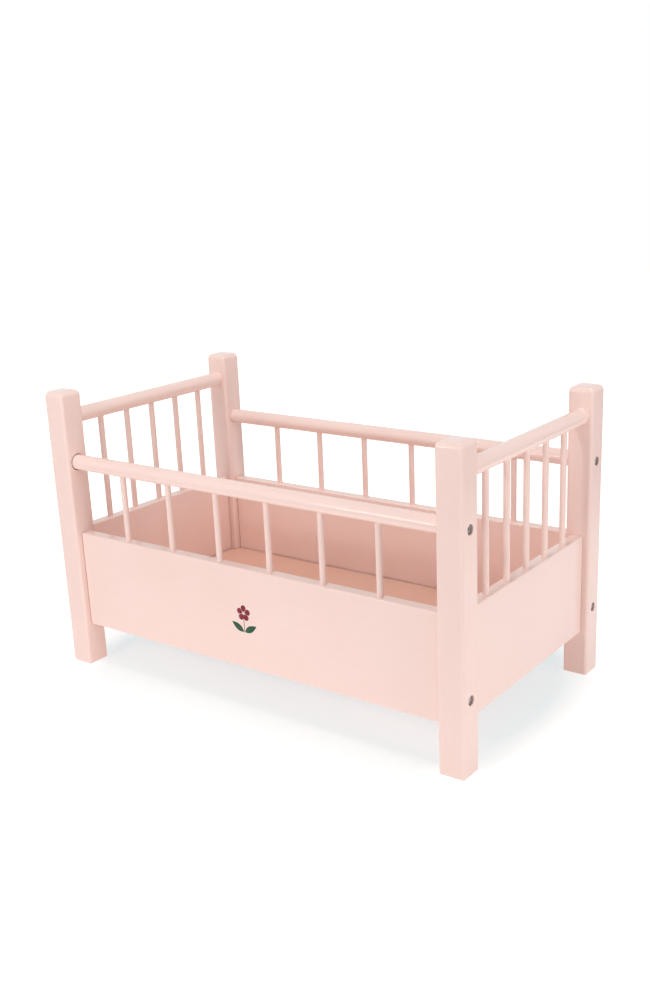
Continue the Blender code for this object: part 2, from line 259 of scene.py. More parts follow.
def new_finish(name):
    """New material, with its node tree and its main shader."""
    material = bpy.data.materials.new(name)
    material.use_nodes = True
    tree = material.node_tree
    return material, tree, tree.nodes["Principled BSDF"]


def stretched(tree, place, stretch):
    """Coordinates scaled along each axis, so that a pattern on them runs long in one direction."""
    along = tree.nodes.new("ShaderNodeMapping")
    along.inputs["Scale"].default_value = stretch
    tree.links.new(place, along.inputs["Vector"])
    return along.outputs["Vector"]


def speckle(tree, place, scale, detail, harshness=0.5):
    """Socket of an uneven pattern."""
    noise = tree.nodes.new("ShaderNodeTexNoise")
    noise.inputs["Scale"].default_value = scale
    noise.inputs["Detail"].default_value = detail
    noise.inputs["Roughness"].default_value = harshness
    tree.links.new(place, noise.inputs["Vector"])
    return noise.outputs["Fac"]


def two_tones(tree, pattern, deep, pale, start=0.0, end=1.0):
    """Socket of a colour that goes from a deep tone to a pale one with a pattern."""
    ramp = tree.nodes.new("ShaderNodeValToRGB")
    deep_stop, pale_stop = ramp.color_ramp.elements
    deep_stop.position = start
    deep_stop.color = (*deep, 1.0)
    pale_stop.position = end
    pale_stop.color = (*pale, 1.0)
    tree.links.new(pattern, ramp.inputs["Fac"])
    return ramp.outputs["Color"]


def relief(tree, pattern, depth, strength=1.0, over=None):
    """Socket of a fine relief from a pattern, laid over another relief where one is given."""
    bump = tree.nodes.new("ShaderNodeBump")
    bump.inputs["Strength"].default_value = strength
    bump.inputs["Distance"].default_value = depth
    tree.links.new(pattern, bump.inputs["Height"])
    if over is not None:
        tree.links.new(over, bump.inputs["Normal"])
    return bump.outputs["Normal"]


def painted_wood(name, colour, grain_axis, roughness=paint_roughness):
    """Satin lacquer over wood whose grain runs along X, Y or Z."""
    material, tree, shader = new_finish(name)
    place = object_place(tree)
    stretch = [1.0, 1.0, 1.0]
    stretch["XYZ".index(grain_axis)] = grain_stretch
    grain = speckle(tree, stretched(tree, place, stretch), scale=420.0, detail=4.0, harshness=0.6)
    peel = speckle(tree, place, scale=650.0, detail=2.0)
    cloud = speckle(tree, place, scale=9.0, detail=3.0)

    clouded = tree.nodes.new("ShaderNodeMath")
    clouded.operation = "MULTIPLY"
    clouded.inputs[1].default_value = cloud_share
    tree.links.new(cloud, clouded.inputs[0])
    blend = tree.nodes.new("ShaderNodeMath")
    blend.operation = "MULTIPLY_ADD"
    blend.inputs[1].default_value = grain_share
    tree.links.new(grain, blend.inputs[0])
    tree.links.new(clouded.outputs["Value"], blend.inputs[2])
    pale = [channel * pale_share for channel in colour]
    deep = [channel * share for channel, share in zip(colour, deep_shares)]
    tint = two_tones(tree, blend.outputs["Value"], deep, pale, tint_start, tint_end)
    tree.links.new(tint, shader.inputs["Base Color"])

    gloss = eased(tree, cloud, roughness - gloss_below, roughness + gloss_above)
    tree.links.new(gloss, shader.inputs["Roughness"])
    grain_relief = relief(tree, grain, grain_depth, strength=0.6)
    fine_relief = relief(tree, peel, peel_depth, strength=0.5, over=grain_relief)
    tree.links.new(fine_relief, shader.inputs["Normal"])
    shader.inputs["IOR"].default_value = lacquer_ior
    return material


# Corner posts
# Square hardwood posts, rounded over on the long edges and the top, and eased at the foot. Each has two
# counterbored holes for connector bolts in its outer end face, and sockets for the rails on its inner faces.
post_top_radius = 0.0055
post_edge_radius = 0.0032
post_foot_radius = 0.0016
post_edge_steps = 8
crisp_angle = math.radians(35)
merge_distance = 1e-6
hole_rim_radius = 0.0006
rim_steps = 4
round_steps = 48
cut_overrun = 0.002
seat_gap = 0.0003
bolt_play = 0.00025
bolt_head_play = 0.0005
bolt_head_height = 0.005
shank_radius = 0.0025
side_rail_play = {"front": 0.0009, "back": 0.0002}
rail_socket_rim = 0.0001
# The holes' insides are bare wood, and their darker brown is also painted shade for their depth.
bare_and_shaded_slot = 1
bare_and_shaded_bore_tones = ((0.50, 0.33, 0.27), (0.72, 0.52, 0.45))
bore_roughness = 0.8
fibre_depth = 0.00005


def node_box(node):
    """Lowest and highest corners of a CAD piece."""
    low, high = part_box(node)
    return Vector(low), Vector(high)


def keep_shape(shape, name):
    """Mesh from a bmesh, which is freed."""
    mesh = bpy.data.meshes.new(name)
    shape.to_mesh(mesh)
    shape.free()
    return mesh


def place_piece(name, shape, materials, node):
    """Shows a finished shape in place of its CAD node, with smooth rounds and flat faces."""
    mesh = keep_shape(shape, node)
    mesh.shade_smooth()
    mesh.set_sharp_from_angle(angle=crisp_angle)
    for material in materials:
        mesh.materials.append(material)
    piece = bpy.data.objects.new(name, mesh)
    bpy.context.scene.collection.objects.link(piece)
    flat_faces = piece.modifiers.new("flat_faces", "WEIGHTED_NORMAL")
    flat_faces.mode = "FACE_AREA"
    flat_faces.keep_sharp = True
    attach(piece, "root")
    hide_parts(node)


def worked_in(shape, kind, **settings):
    """New bmesh of a shape with one modifier worked in."""
    solid = bpy.data.objects.new("solid", keep_shape(shape, "solid"))
    for slot_number in range(bare_and_shaded_slot + 1):
        solid.data.materials.append(None)
    bpy.context.scene.collection.objects.link(solid)
    modifier = solid.modifiers.new("work", kind)
    for setting, value in settings.items():
        setattr(modifier, setting, value)
    bpy.context.view_layer.update()
    graph = bpy.context.evaluated_depsgraph_get()
    result = bpy.data.meshes.new_from_object(solid.evaluated_get(graph))
    mesh = solid.data
    bpy.data.objects.remove(solid, do_unlink=True)
    bpy.data.meshes.remove(mesh)
    worked = bmesh.new()
    worked.from_mesh(result)
    bpy.data.meshes.remove(result)
    return worked


def block(low, high):
    """Plain block between two corners."""
    shape = bmesh.new()
    place = Matrix.Translation((low + high) / 2) @ Matrix.Diagonal((*(high - low), 1.0))
    bmesh.ops.create_cube(shape, size=1.0, matrix=place)
    return shape


def rounded_block(low, high, top_radius, upright_radius, low_radius, steps):
    """Block between two corners whose upper, upright and lower edges have a rounding of their own."""
    shape = block(low, high)
    largest = max(top_radius, upright_radius, low_radius)
    middle = (low.z + high.z) / 2
    weights = shape.edges.layers.float.new("bevel_weight_edge")
    for edge in shape.edges:
        heights = [corner.co.z for corner in edge.verts]
        radius = upright_radius
        if min(heights) > middle:
            radius = top_radius
        elif max(heights) < middle:
            radius = low_radius
        edge[weights] = radius / largest
    return worked_in(shape, "BEVEL", limit_method="WEIGHT", width=largest, segments=steps)


def arc(centre, radius, start, end, steps):
    """Points of a circle's arc in a profile, from one angle in degrees to another."""
    points = []
    for step in range(steps + 1):
        angle = math.radians(start + (end - start) * step / steps)
        points.append((centre[0] + radius * math.cos(angle), centre[1] + radius * math.sin(angle)))
    return points


axis_turns = {
    "X": Matrix.Rotation(math.pi / 2, 4, "Y"),
    "-X": Matrix.Rotation(-math.pi / 2, 4, "Y"),
    "Y": Matrix.Rotation(-math.pi / 2, 4, "X"),
    "-Y": Matrix.Rotation(math.pi / 2, 4, "X"),
    "Z": Matrix.Identity(4),
    "-Z": Matrix.Rotation(math.pi, 4, "X"),
}


def turned(profile, axis, place, steps):
    """Solid turned from a profile of (radius, distance along the axis)."""
    shape = bmesh.new()
    points = [shape.verts.new((radius, 0.0, height)) for radius, height in profile]
    outline = [shape.edges.new(pair) for pair in zip(points, points[1:])]
    bmesh.ops.spin(
        shape, geom=points + outline, cent=(0, 0, 0), axis=(0, 0, 1), dvec=(0, 0, 0),
        angle=2 * math.pi, steps=steps, use_merge=True, use_duplicate=False,
    )
    bmesh.ops.remove_doubles(shape, verts=shape.verts, dist=merge_distance)
    bmesh.ops.recalc_face_normals(shape, faces=shape.faces)
    shape.transform(Matrix.Translation(place) @ axis_turns[axis])
    return shape


def join_shapes(shapes):
    """One bmesh that holds several separate shapes."""
    whole = bmesh.new()
    for number, shape in enumerate(shapes):
        part = keep_shape(shape, f"part_{number}")
        whole.from_mesh(part)
        bpy.data.meshes.remove(part)
    return whole


def cut_out(shape, cutters, operation="DIFFERENCE"):
    """Takes a set of separate shapes out of a solid, or joins them to it, and gives back the new bmesh."""
    tool = bpy.data.objects.new("tool", keep_shape(join_shapes(cutters), "tool"))
    bpy.context.scene.collection.objects.link(tool)
    cut = worked_in(shape, "BOOLEAN", operation=operation, solver="EXACT", object=tool)
    mesh = tool.data
    bpy.data.objects.remove(tool, do_unlink=True)
    bpy.data.meshes.remove(mesh)
    return cut


def bore(radius, rim, depth, axis, mouth, flats=round_steps):
    """Cutting shape for a round hole, bare inside in painted shade, with an eased rim. The axis points out
    of the wood.
    """
    profile = [(0.0, -depth), (radius, -depth)]
    profile += arc((radius + rim, -rim), rim, 180, 90, rim_steps)
    profile += [(radius + rim, cut_overrun), (0.0, cut_overrun)]
    shape = turned(profile, "Z", (0.0, 0.0, 0.0), flats)
    for face in shape.faces:
        if face.calc_center_median().z < -rim:
            face.material_index = bare_and_shaded_slot
    shape.transform(Matrix.Translation(mouth) @ axis_turns[axis])
    return shape


def towards(axis, side):
    """Name of the direction along an axis that points to the positive or the negative side."""
    return axis if side > 0 else f"-{axis}"


def bare_and_shaded_wood():
    """Bare beech inside the drilled holes, uneven in tone; its darker brown also paints in the shade deep in
    the holes.
    """
    material, tree, shader = new_finish("bare_and_shaded_bore")
    fibre = speckle(tree, object_place(tree), scale=700.0, detail=4.0)
    tint = two_tones(tree, fibre, *bare_and_shaded_bore_tones, start=0.3, end=0.7)
    tree.links.new(tint, shader.inputs["Base Color"])
    shader.inputs["Roughness"].default_value = bore_roughness
    tree.links.new(relief(tree, fibre, fibre_depth), shader.inputs["Normal"])
    return material


shaded_bore_wood = bare_and_shaded_wood()
post_paint = painted_wood("painted_post", paint_colour, "Z")
ends = {"left": -1, "right": 1}
sides = {"front": -1, "back": 1}
for end_name, sx in ends.items():
    for side_name, sy in sides.items():
        node = f"post_{side_name}_{end_name}"
        low, high = node_box(node)
        x, y = (low.x + high.x) / 2, (low.y + high.y) / 2
        outer_x = high.x if sx > 0 else low.x
        inner_x = low.x if sx > 0 else high.x
        inner_y = low.y if sy > 0 else high.y
        shape = rounded_block(
            low, high, post_top_radius, post_edge_radius, post_foot_radius, post_edge_steps
        )

        cutters = []
        for joint_name in ("rail", "panel"):
            bolt_low, bolt_high = node_box(f"bolt_{joint_name}_{side_name}_{end_name}")
            height = (bolt_low.z + bolt_high.z) / 2
            head_radius = (bolt_high.z - bolt_low.z) / 2
            head_top = bolt_high.x if sx > 0 else bolt_low.x
            head_depth = abs(outer_x - head_top) + bolt_head_height + seat_gap
            outwards = towards("X", sx)
            mouth = (outer_x, y, height)
            cutters.append(bore(head_radius + bolt_head_play, hole_rim_radius, head_depth, outwards, mouth))
            mouth = (outer_x - sx * (head_depth - cut_overrun), y, height)
            through = abs(outer_x - inner_x) + cut_overrun
            cutters.append(bore(shank_radius + bolt_play, 0.0, through, outwards, mouth))
        rail_low, rail_high = node_box(f"side_rail_{side_name}")
        rail_radius = (rail_high.z - rail_low.z) / 2
        socket_radius = rail_radius + side_rail_play[side_name]
        depth = abs((rail_high.x if sx > 0 else rail_low.x) - inner_x) + seat_gap
        mouth = (inner_x, y, (rail_low.z + rail_high.z) / 2)
        inwards = towards("X", -sx)
        cutters.append(bore(socket_radius, rail_socket_rim, depth, inwards, mouth, 2 * round_steps))
        rail_low, rail_high = node_box(f"end_rail_{end_name}")
        depth = abs((rail_high.y if sy > 0 else rail_low.y) - inner_y) + seat_gap
        mouth = (x, inner_y, (rail_low.z + rail_high.z) / 2)
        inwards = towards("Y", -sy)
        cutters.append(bore(rail_radius + seat_gap, 0.0, depth, inwards, mouth, 2 * round_steps))

        shape = cut_out(shape, cutters)
        finishes = (post_paint, shaded_bore_wood)
        place_piece(f"rounded_post_{side_name}_{end_name}", shape, finishes, node)


# Side rails
# Straight turned rods between the posts. A threaded insert for the connector bolt is set in each end, and
# the spindles stand in holes along the underside. The rails are bolted on after painting, so a fine gap
# shows round them.
rail_end_radius = 0.0008
spindle_play = 0.00015
insert_play = 0.00015
rail_roughness = 0.2
side_spindle_count = 6
rail_paint = painted_wood("painted_rail_lengthways", paint_colour, "X", rail_roughness)


def turned_rod(radius, end_radius, start, end, axis, place, steps):
    """Rod with eased ends, turned about an axis through a place."""
    profile = [(0.0, start)]
    profile += arc((radius - end_radius, start + end_radius), end_radius, -90, 0, rim_steps)
    profile += arc((radius - end_radius, end - end_radius), end_radius, 0, 90, rim_steps)
    profile += [(0.0, end)]
    return turned(profile, axis, place, steps)


def spindle_bores(stem, count, mouth_z, axis, depth):
    """Cutting shapes for the holes that a row of spindles stands in."""
    cutters = []
    for number in range(1, count + 1):
        low, high = node_box(f"spindle_{stem}_{number}")
        middle = (low + high) / 2
        radius = (high.x - low.x) / 2 + spindle_play
        cutters.append(bore(radius, 0.0, depth, axis, (middle.x, middle.y, mouth_z)))
    return cutters


def insert_bores(joint_name, side_name, end_x):
    """Cutting shapes for the insert and the bolt's tip at both ends of a rail or a side panel."""
    cutters = []
    for end_name, sx in ends.items():
        where = f"{joint_name}_{side_name}_{end_name}"
        insert_low, insert_high = node_box(f"insert_{where}")
        bolt_low, bolt_high = node_box(f"bolt_{where}")
        middle = (insert_low + insert_high) / 2
        outwards = towards("X", sx)
        inner_end = insert_low.x if sx > 0 else insert_high.x
        bolt_tip = bolt_low.x if sx > 0 else bolt_high.x
        mouth = (sx * end_x, middle.y, middle.z)
        insert_radius = (insert_high.z - insert_low.z) / 2 + insert_play
        insert_depth = abs(sx * end_x - inner_end) + seat_gap
        cutters.append(bore(insert_radius, 0.0, insert_depth, outwards, mouth))
        tip_depth = abs(sx * end_x - bolt_tip) + cut_overrun
        cutters.append(bore(shank_radius + bolt_play, 0.0, tip_depth, outwards, mouth))
    return cutters


for side_name in sides:
    node = f"side_rail_{side_name}"
    low, high = node_box(node)
    middle = (low + high) / 2
    rail_radius = (high.z - low.z) / 2
    shape = turned_rod(
        rail_radius, rail_end_radius, low.x, high.x, "X", (0.0, middle.y, middle.z), 2 * round_steps
    )
    spindle_top = node_box(f"spindle_{side_name}_1")[1].z
    seat_depth = spindle_top - low.z + seat_gap
    cutters = spindle_bores(side_name, side_spindle_count, low.z, "-Z", seat_depth)
    cutters += insert_bores("rail", side_name, high.x)
    shape = cut_out(shape, cutters)
    place_piece(f"turned_rail_{side_name}", shape, (rail_paint, shaded_bore_wood), node)


# End rails
# The same rods, glued into the posts and painted with them, so that a fillet of paint runs round each joint.
paint_fillet = 0.0007
paint_film = 0.00003
end_spindle_count = 5
end_rail_paint = painted_wood("painted_rail_crossways", paint_colour, "Y", rail_roughness)
for end_name in ends:
    node = f"end_rail_{end_name}"
    low, high = node_box(node)
    middle = (low + high) / 2
    rail_radius = (high.z - low.z) / 2
    face = node_box(f"post_front_{end_name}")[1].y
    end_centre = (rail_radius - rail_end_radius, low.y + rail_end_radius)
    flare = rail_radius + paint_fillet
    profile = [(0.0, low.y)]
    profile += arc(end_centre, rail_end_radius, -90, 0, rim_steps)
    profile += [(rail_radius, face), (flare, face + paint_film)]
    profile += arc((flare, face + paint_film + paint_fillet), paint_fillet, 270, 180, rim_steps)
    other_half = [(radius, -distance) for radius, distance in reversed(profile)]
    shape = turned(profile + other_half, "Y", (middle.x, 0.0, middle.z), 2 * round_steps)
    spindle_top = node_box(f"spindle_{end_name}_1")[1].z
    seat_depth = spindle_top - low.z + seat_gap
    shape = cut_out(shape, spindle_bores(end_name, end_spindle_count, low.z, "-Z", seat_depth))
    place_piece(f"turned_rail_{end_name}", shape, (end_rail_paint, shaded_bore_wood), node)


# Side panels
# Boards with lightly eased edges. Their ends are drilled for the bolt's insert and a locating dowel, and
# their tops for the spindles. A fine groove over the floor board shows as a dark line round the inside.
panel_edge_radius = 0.0013
panel_edge_steps = 5
floor_line_height = 0.0009
floor_line_depth = 0.0016
panel_paint = painted_wood("painted_panel_lengthways", paint_colour, "X")


def floor_line():
    """Cutting shape for the groove that runs round the panels' inner faces over the floor board."""
    low, high = node_box("floor_board")
    spread = Vector((floor_line_depth, floor_line_depth, 0.0))
    low.z = high.z
    high.z += floor_line_height
    return block(low - spread, high + spread)


for side_name in sides:
    node = f"side_panel_{side_name}"
    low, high = node_box(node)
    shape = rounded_block(low, high, *[panel_edge_radius] * 3, panel_edge_steps)
    spindle_foot = node_box(f"spindle_{side_name}_1")[0].z
    seat_depth = high.z - spindle_foot + seat_gap
    cutters = spindle_bores(side_name, side_spindle_count, high.z, "Z", seat_depth)
    cutters += insert_bores("panel", side_name, high.x)
    for end_name, sx in ends.items():
        dowel_low, dowel_high = node_box(f"dowel_{side_name}_{end_name}")
        middle = (dowel_low + dowel_high) / 2
        dowel_end = dowel_low.x if sx > 0 else dowel_high.x
        depth = abs(sx * high.x - dowel_end) + seat_gap
        dowel_radius = (dowel_high.z - dowel_low.z) / 2 + insert_play
        mouth = (sx * high.x, middle.y, middle.z)
        cutters.append(bore(dowel_radius, 0.0, depth, towards("X", sx), mouth))
    cutters.append(floor_line())
    shape = cut_out(shape, cutters)
    place_piece(f"board_panel_{side_name}", shape, (panel_paint, shaded_bore_wood), node)


# End panels
# The same boards, with stub tenons that are glued into the posts. Their shoulders stop a hair short of the
# posts, which leaves a fine dark line at each end.
shoulder_gap = 0.0004
tenon_thickness = 0.007
tenon_shoulder = 0.012
end_panel_paint = painted_wood("painted_panel_crossways", paint_colour, "Y")
for end_name in ends:
    node = f"end_panel_{end_name}"
    low, high = node_box(node)
    shoulder = node_box(f"post_front_{end_name}")[1].y + shoulder_gap
    board_low = Vector((low.x, shoulder, low.z))
    board_high = Vector((high.x, -shoulder, high.z))
    shape = rounded_block(board_low, board_high, *[panel_edge_radius] * 3, panel_edge_steps)
    middle_x = (low.x + high.x) / 2
    tongue_low = Vector((middle_x - tenon_thickness / 2, low.y, low.z + tenon_shoulder))
    tongue_high = Vector((middle_x + tenon_thickness / 2, high.y, high.z - tenon_shoulder))
    shape = cut_out(shape, [block(tongue_low, tongue_high)], "UNION")
    spindle_foot = node_box(f"spindle_{end_name}_1")[0].z
    seat_depth = high.z - spindle_foot + seat_gap
    cutters = spindle_bores(end_name, end_spindle_count, high.z, "Z", seat_depth)
    cutters.append(floor_line())
    shape = cut_out(shape, cutters)
    place_piece(f"board_panel_{end_name}", shape, (end_panel_paint, shaded_bore_wood), node)


# Spindles
# Thin dowel rods from the panels' tops to the rails' undersides. They are glued and then painted, so a
# small fillet of paint closes both joints; the upper one follows the round of the rail.
spindle_steps = 32
spindle_end_radius = 0.0004
spindle_fillet = 0.0006
spindle_paint = painted_wood("painted_spindle", paint_colour, "Z")


def spindle_shape(low, high, panel_top, rail_low, rail_high, rail_axis):
    """Rod with a paint fillet at the panel and one under the rail."""
    radius = (high.x - low.x) / 2
    end_centre_x = radius - spindle_end_radius
    flare = radius + spindle_fillet
    foot = panel_top + paint_film
    rail_radius = (rail_high.z - rail_low.z) / 2
    head = rail_low.z - paint_film
    profile = [(0.0, low.z)]
    profile += arc((end_centre_x, low.z + spindle_end_radius), spindle_end_radius, -90, 0, rim_steps)
    profile += [(radius, foot)]
    profile += arc((flare, foot + spindle_fillet), spindle_fillet, 270, 180, rim_steps)
    profile += arc((flare, head - spindle_fillet), spindle_fillet, 180, 90, rim_steps)
    profile += [(radius, head)]
    profile += arc((end_centre_x, high.z - spindle_end_radius), spindle_end_radius, 0, 90, rim_steps)
    profile += [(0.0, high.z)]
    middle = (low + high) / 2
    shape = turned(profile, "Z", (middle.x, middle.y, 0.0), spindle_steps)
    for point in shape.verts:
        if head - 2 * spindle_fillet < point.co.z < head + paint_film:
            aside = point.co.y - middle.y if rail_axis == "X" else point.co.x - middle.x
            point.co.z += rail_radius - math.sqrt(rail_radius ** 2 - aside ** 2)
    return shape


rows = [(side_name, side_spindle_count, "side", "X") for side_name in sides]
rows += [(end_name, end_spindle_count, "end", "Y") for end_name in ends]
for stem, count, place_name, rail_axis in rows:
    panel_top = node_box(f"{place_name}_panel_{stem}")[1].z
    rail_low, rail_high = node_box(f"{place_name}_rail_{stem}")
    for number in range(1, count + 1):
        node = f"spindle_{stem}_{number}"
        low, high = node_box(node)
        shape = spindle_shape(low, high, panel_top, rail_low, rail_high, rail_axis)
        place_piece(f"turned_spindle_{stem}_{number}", shape, (spindle_paint,), node)


# Floor board
# A thin painted board, notched round the four posts, that lies loose on the cleats.
floor_edge_radius = 0.0003
floor_gap = 0.0009
floor_play = 0.0006
floor_edge_steps = 3
floor_roughness = 0.09
# Its colour is the paint darkened as painted shade for the bottom of the bed.
shaded_floor_paint = painted_wood("painted_floor", shaded_floor_colour, "X", floor_roughness)
node = "floor_board"
low, high = node_box(node)
low += Vector((floor_gap, floor_gap, 0.0))
high -= Vector((floor_gap, floor_gap, 0.0))
shape = block(low, high)
post_low = node_box("post_back_right")[0]
notch_low = Vector((post_low.x - floor_play, post_low.y - floor_play, low.z - cut_overrun))
notch_high = high + Vector((cut_overrun, cut_overrun, cut_overrun))
notch_size = notch_high - notch_low
notch_middle = (notch_low + notch_high) / 2
notches = []
for sx in ends.values():
    for sy in sides.values():
        middle = Vector((sx * notch_middle.x, sy * notch_middle.y, notch_middle.z))
        notches.append(block(middle - notch_size / 2, middle + notch_size / 2))
shape = cut_out(shape, notches)
edges = [edge for edge in shape.edges if edge.calc_face_angle(0.0) > crisp_angle]
bmesh.ops.bevel(
    shape, geom=edges, offset=floor_edge_radius, affect="EDGES", segments=floor_edge_steps,
    profile=0.5, material=-1,
)
place_piece("loose_floor_board", shape, (shaded_floor_paint, shaded_bore_wood), node)


# Cleats
# Square battens pinned and glued to the inside of the panels, just under the floor board.
cleat_edge_radius = 0.0006
cleat_steps = 3
cleat_roughness = 0.35
cleat_finishes = {
    "X": painted_wood("painted_cleat_lengthways", paint_colour, "X", cleat_roughness),
    "Y": painted_wood("painted_cleat_crossways", paint_colour, "Y", cleat_roughness),
}
for where in (*sides, *ends):
    node = f"floor_cleat_{where}"
    low, high = node_box(node)
    grain_axis = "X" if where in sides else "Y"
    shape = rounded_block(low, high, *[cleat_edge_radius] * 3, cleat_steps)
    place_piece(f"batten_cleat_{where}", shape, (cleat_finishes[grain_axis],), node)


# Connector bolts
# Zinc-plated steel bolts with a round head and a hexagon socket, turned from bar and sunk in the posts.
head_edge_radius = 0.0004
socket_width = 0.004
socket_depth = 0.0026
socket_lead = 0.0003
socket_flats = 6
bolt_steps = 48
thread_pitch = 0.0008
steel_tones = ((0.52, 0.54, 0.58), (0.76, 0.77, 0.80))
steel_gloss = (0.28, 0.45)
steel_relief_depth = 0.00002


def plated_steel():
    """Dull zinc plate, a little mottled."""
    material, tree, shader = new_finish("zinc_plated_steel")
    shader.inputs["Metallic"].default_value = 1.0
    mottle = speckle(tree, object_place(tree), scale=900.0, detail=3.0)
    tint = two_tones(tree, mottle, *steel_tones)
    tree.links.new(tint, shader.inputs["Base Color"])
    tree.links.new(eased(tree, mottle, *steel_gloss), shader.inputs["Roughness"])
    tree.links.new(relief(tree, mottle, steel_relief_depth, strength=0.4), shader.inputs["Normal"])
    return material


bolt_steel = plated_steel()
hex_radius = socket_width / 2 / math.cos(math.pi / socket_flats)
lead_radius = hex_radius + socket_lead + cut_overrun
for joint_name in ("rail", "panel"):
    for side_name in sides:
        for end_name, sx in ends.items():
            bolt_name = f"{joint_name}_{side_name}_{end_name}"
            node = f"bolt_{bolt_name}"
            low, high = node_box(node)
            middle = (low + high) / 2
            head_radius = (high.z - low.z) / 2
            head_top = high.x if sx > 0 else -low.x
            tip = low.x if sx > 0 else -high.x
            seat = head_top - bolt_head_height
            edge_centre = (head_radius - head_edge_radius, head_top - head_edge_radius)
            profile = [
                (0.0, tip), (shank_radius - thread_pitch / 2, tip),
                (shank_radius, tip + thread_pitch / 2), (shank_radius, seat), (head_radius, seat),
            ]
            profile += arc(edge_centre, head_edge_radius, 0, 90, rim_steps)
            profile += [(0.0, head_top)]
            socket_profile = [
                (0.0, head_top - socket_depth), (hex_radius, head_top - socket_depth),
                (hex_radius, head_top - socket_lead), (lead_radius, head_top + cut_overrun),
                (0.0, head_top + cut_overrun),
            ]
            outwards = towards("X", sx)
            bolt_line = (0.0, middle.y, middle.z)
            shape = turned(profile, outwards, bolt_line, bolt_steps)
            shape = cut_out(shape, [turned(socket_profile, outwards, bolt_line, socket_flats)])
            place_piece(f"socket_bolt_{bolt_name}", shape, (bolt_steel,), node)


# Printed motif
# A small flower in dark red and green, printed on the front panel as a transfer. Each colour is a thin film
# of ink, and a pale backing film shows round it.
motif_x = 0.0
blossom_z = 0.1062
stem_foot_z = 0.0856
backing_thickness = 0.00004
ink_thickness = 0.00008
top_ink_thickness = 0.00011
backing_margin = 0.0006
outline_steps = 20
petal_count = 5
petal_root = 0.0011
petal_length = 0.0076
petal_width = 0.0064
petal_fullness = 1.35
petal_roundness = 0.6
streak_length = 0.0038
streak_width = 0.0009
scallop_share = 0.28
scallop_roundness = 0.7
eye_radius = 0.0017
stem_width = 0.0009
stem_top_width = 0.0006
leaf_length = 0.0172
leaf_width = 0.0068
leaf_fullness = 0.85
leaf_roundness = 0.9
leaf_rise = math.radians(30)
leaf_root_x = 0.0008
leaf_tip_margin = 0.0009
vein_width = 0.0006
vein_share = 0.86
vein_fullness = 0.5
backing_tones = ((0.96, 0.76, 0.69), (0.98, 0.80, 0.74))
stem_tones = ((0.26, 0.13, 0.10), (0.38, 0.20, 0.16))
leaf_tones = ((0.016, 0.070, 0.030), (0.030, 0.115, 0.050))
vein_tones = ((0.045, 0.135, 0.065), (0.070, 0.180, 0.095))
petal_tones = ((0.19, 0.012, 0.024), (0.34, 0.034, 0.058))
streak_tones = ((0.12, 0.010, 0.018), (0.18, 0.02, 0.03))
eye_tones = ((0.85, 0.60, 0.50), (0.93, 0.72, 0.60))
ink_roughness = 0.3
ink_sheen_level = 0.3
ink_relief_depth = 0.00001


def ink(name, deep, pale):
    """Screen-printed ink, a little uneven in tone."""
    material, tree, shader = new_finish(name)
    patch = speckle(tree, object_place(tree), scale=480.0, detail=4.0)
    tint = two_tones(tree, patch, deep, pale, tint_start, tint_end)
    tree.links.new(tint, shader.inputs["Base Color"])
    shader.inputs["Roughness"].default_value = ink_roughness
    shader.inputs["Specular IOR Level"].default_value = ink_sheen_level
    tree.links.new(relief(tree, patch, ink_relief_depth), shader.inputs["Normal"])
    return material


def towards_angle(angle):
    """Direction of an angle in the panel's face."""
    return Vector((math.cos(angle), math.sin(angle)))


def petal_outline(root, heading, length, width, fullness=1.0, roundness=1.0):
    """Outline of a petal or leaf that grows from its root towards a heading."""
    half = []
    for step in range(outline_steps + 1):
        share = step / outline_steps
        aside = width / 2 * max(0.0, math.sin(math.pi * share ** fullness)) ** roundness
        half.append((length * share, aside))
    points = half + [(along, -aside) for along, aside in reversed(half[1:-1])]
    ahead = towards_angle(heading)
    across = Vector((-ahead.y, ahead.x))
    return [root + ahead * along + across * aside for along, aside in points]


def ink_film(name, outlines, thickness, material):
    """Thin flat film on the front panel in the shape of the outlines."""
    shape = bmesh.new()
    for outline in outlines:
        back = [shape.verts.new((point.x, front_face, point.y)) for point in outline]
        front = [shape.verts.new((point.x, front_face - thickness, point.y)) for point in outline]
        shape.faces.new(front)
        shape.faces.new(list(reversed(back)))
        for number in range(len(outline)):
            shape.faces.new((back[number - 1], back[number], front[number], front[number - 1]))
    bmesh.ops.recalc_face_normals(shape, faces=shape.faces)
    mesh = keep_shape(shape, name)
    mesh.materials.append(material)
    film = bpy.data.objects.new(name, mesh)
    bpy.context.scene.collection.objects.link(film)
    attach(film, "root")


